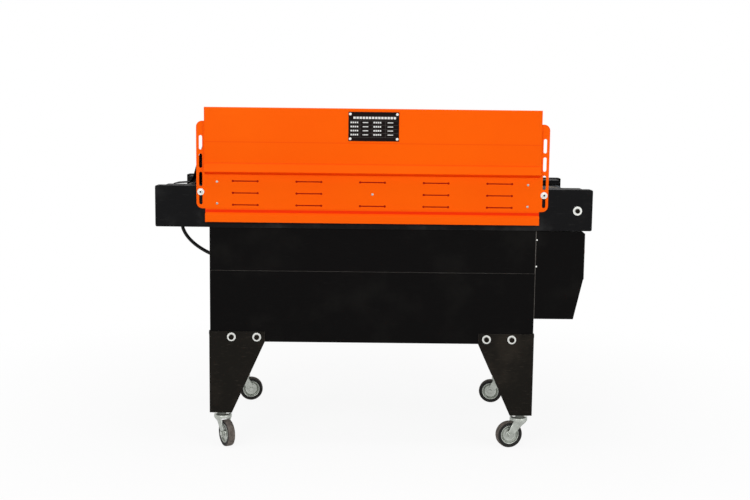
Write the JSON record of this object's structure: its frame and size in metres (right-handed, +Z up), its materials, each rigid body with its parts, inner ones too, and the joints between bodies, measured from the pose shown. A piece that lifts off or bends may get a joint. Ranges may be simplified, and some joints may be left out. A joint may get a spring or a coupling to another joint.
{
  "type": "shrink wrapping machine",
  "caption": "Hot air shrink tunnel: a lifting slotted hood over a mesh belt conveyor, on a sheet metal cabinet with splayed legs and swivel casters.",
  "frame": {"origin": "on the floor below the middle of the bounding box", "axes": "+X along the belt towards the inlet end, -Y towards the operator's front, +Z up"},
  "size_m": [1.6, 0.812, 1.269],
  "materials": {
    "orange_paint": "satin powder coat",
    "black_paint": "fine texture powder coat",
    "zinc_steel": "zinc plated",
    "steel_mesh": "bare stainless steel",
    "cast_housing": "cast, painted",
    "motor_paint": "enamel",
    "tyre_rubber": "dull rubber",
    "curtain_rubber": "soft sheet",
    "wool": "mineral wool board",
    "black_plate": "black anodised",
    "white_plastic": "matt",
    "black_plastic": "matt",
    "red_plastic": "gloss"
  },
  "bodies": {
    "frame": {"belt_grid": "zinc_steel", "blower_housing": "zinc_steel", "blower_motor": "motor_paint", "cabinet_fasteners": "zinc_steel", "cabinet_floor": "zinc_steel", "cabinet_front_lower": "black_paint", "cabinet_front_upper": "black_paint", "cabinet_left_panel": "black_paint", "cabinet_rear_panel": "black_paint", "cabinet_right_panel": "black_paint", "caster_heads": "zinc_steel", "clamp_bolts": "zinc_steel", "control_box": "black_paint", "control_panel": "black_paint", "conveyor_front_channel": "black_paint", "conveyor_pan": "black_paint", "conveyor_rear_channel": "black_paint", "deck_covers": "zinc_steel", "drum_bearings": "cast_housing", "gear_motor": "motor_paint", "heater_tubes": "steel_mesh", "hose_glands": "black_plastic", "jet_duct": "zinc_steel", "leg_front_left": "black_paint", "leg_front_right": "black_paint", "leg_rear_left": "black_paint", "leg_rear_right": "black_paint", "mesh_belt": "steel_mesh", "switch_bezels": "black_plastic", "temperature_controller": "black_plastic", "wiring_hose": "black_plastic"},
    "hood": {"hood_shell": "orange_paint", "hood_end_left": "orange_paint", "hood_end_right": "orange_paint", "vent_strip_front": "orange_paint", "vent_strip_rear": "orange_paint", "hood_rivets": "zinc_steel", "tunnel_liner": "zinc_steel", "hood_insulation": "wool", "data_plate": "black_plate", "data_plate_screws": "white_plastic", "curtain_rods": "zinc_steel"},
    "outlet_curtain": {"outlet_curtain": "curtain_rubber"},
    "inlet_curtain": {"inlet_curtain": "curtain_rubber"},
    "drive_drum": {"drive_drum": "zinc_steel", "shaft_bolt": "zinc_steel"},
    "idler_drum": {"idler_drum": "zinc_steel"},
    "blower_rotor": {"blower_rotor": "zinc_steel"},
    "power_switch": {"power_switch": "black_plastic"},
    "heater_switch": {"heater_switch": "black_plastic"},
    "speed_knob": {"speed_knob": "black_plastic"},
    "stop_button": {"stop_button": "red_plastic"},
    "swivel_front_left": {"caster_fork_front_left": "zinc_steel"},
    "wheel_front_left": {"caster_wheel_front_left": "tyre_rubber"},
    "swivel_front_right": {"caster_fork_front_right": "zinc_steel"},
    "wheel_front_right": {"caster_wheel_front_right": "tyre_rubber"},
    "swivel_rear_left": {"caster_fork_rear_left": "zinc_steel"},
    "wheel_rear_left": {"caster_wheel_rear_left": "tyre_rubber"},
    "swivel_rear_right": {"caster_fork_rear_right": "zinc_steel"},
    "wheel_rear_right": {"caster_wheel_rear_right": "tyre_rubber"}
  },
  "joints": [
    {"name": "hood_lift", "type": "slide", "parent": "frame", "child": "hood", "axis": [0, 0, 1], "range_m": [0, 0.04]},
    {"name": "outlet_curtain_swing", "type": "hinge", "parent": "hood", "child": "outlet_curtain", "pos_m": [-0.627, 0, 1.206], "axis": [0, 1, 0], "range_deg": [0, 50]},
    {"name": "inlet_curtain_swing", "type": "hinge", "parent": "hood", "child": "inlet_curtain", "pos_m": [0.595, 0, 1.1885], "axis": [0, 1, 0], "range_deg": [0, 50]},
    {"name": "drive_drum_turn", "type": "hinge", "parent": "frame", "child": "drive_drum", "pos_m": [0.745, 0, 0.906], "axis": [0, 1, 0], "continuous": true},
    {"name": "idler_drum_turn", "type": "hinge", "parent": "frame", "child": "idler_drum", "pos_m": [-0.745, 0, 0.906], "axis": [0, 1, 0], "continuous": true},
    {"name": "blower_turn", "type": "hinge", "parent": "frame", "child": "blower_rotor", "pos_m": [-0.003, 0, 0.525], "axis": [0, 1, 0], "continuous": true},
    {"name": "power_switch_turn", "type": "hinge", "parent": "frame", "child": "power_switch", "pos_m": [0.78, -0.15, 0.742], "axis": [1, 0, 0], "range_deg": [0, 90]},
    {"name": "heater_switch_turn", "type": "hinge", "parent": "frame", "child": "heater_switch", "pos_m": [0.78, 0.11, 0.742], "axis": [1, 0, 0], "range_deg": [0, 90]},
    {"name": "speed_knob_turn", "type": "hinge", "parent": "frame", "child": "speed_knob", "pos_m": [0.78, 0.215, 0.742], "axis": [1, 0, 0], "range_deg": [0, 270]},
    {"name": "stop_button_press", "type": "slide", "parent": "frame", "child": "stop_button", "axis": [-1, 0, 0], "range_m": [0, 0.005], "stiffness_N_per_m": 800, "springref_m": -0.002},
    {"name": "swivel_front_left", "type": "hinge", "parent": "frame", "child": "swivel_front_left", "pos_m": [-0.564, -0.322, 0.118], "axis": [0, 0, 1], "continuous": true},
    {"name": "wheel_front_left_roll", "type": "hinge", "parent": "swivel_front_left", "child": "wheel_front_left", "pos_m": [-0.545, -0.35491, 0.05], "axis": [0.866, 0.5, 0], "continuous": true},
    {"name": "swivel_front_right", "type": "hinge", "parent": "frame", "child": "swivel_front_right", "pos_m": [0.558, -0.322, 0.118], "axis": [0, 0, 1], "continuous": true},
    {"name": "wheel_front_right_roll", "type": "hinge", "parent": "swivel_front_right", "child": "wheel_front_right", "pos_m": [0.52129, -0.33184, 0.05], "axis": [0.2588, -0.9659, 0], "continuous": true},
    {"name": "swivel_rear_left", "type": "hinge", "parent": "frame", "child": "swivel_rear_left", "pos_m": [-0.564, 0.322, 0.118], "axis": [0, 0, 1], "continuous": true},
    {"name": "wheel_rear_left_roll", "type": "hinge", "parent": "swivel_rear_left", "child": "wheel_rear_left", "pos_m": [-0.52637, 0.32729, 0.05], "axis": [-0.1392, 0.9903, 0], "continuous": true},
    {"name": "swivel_rear_right", "type": "hinge", "parent": "frame", "child": "swivel_rear_right", "pos_m": [0.558, 0.322, 0.118], "axis": [0, 0, 1], "continuous": true},
    {"name": "wheel_rear_right_roll", "type": "hinge", "parent": "swivel_rear_right", "child": "wheel_rear_right", "pos_m": [0.52058, 0.3286, 0.05], "axis": [-0.1736, -0.9848, 0], "continuous": true}
  ],
  "couplings": [
    {"joint": "idler_drum_turn", "follows": "drive_drum_turn", "ratio": 1}
  ]
}
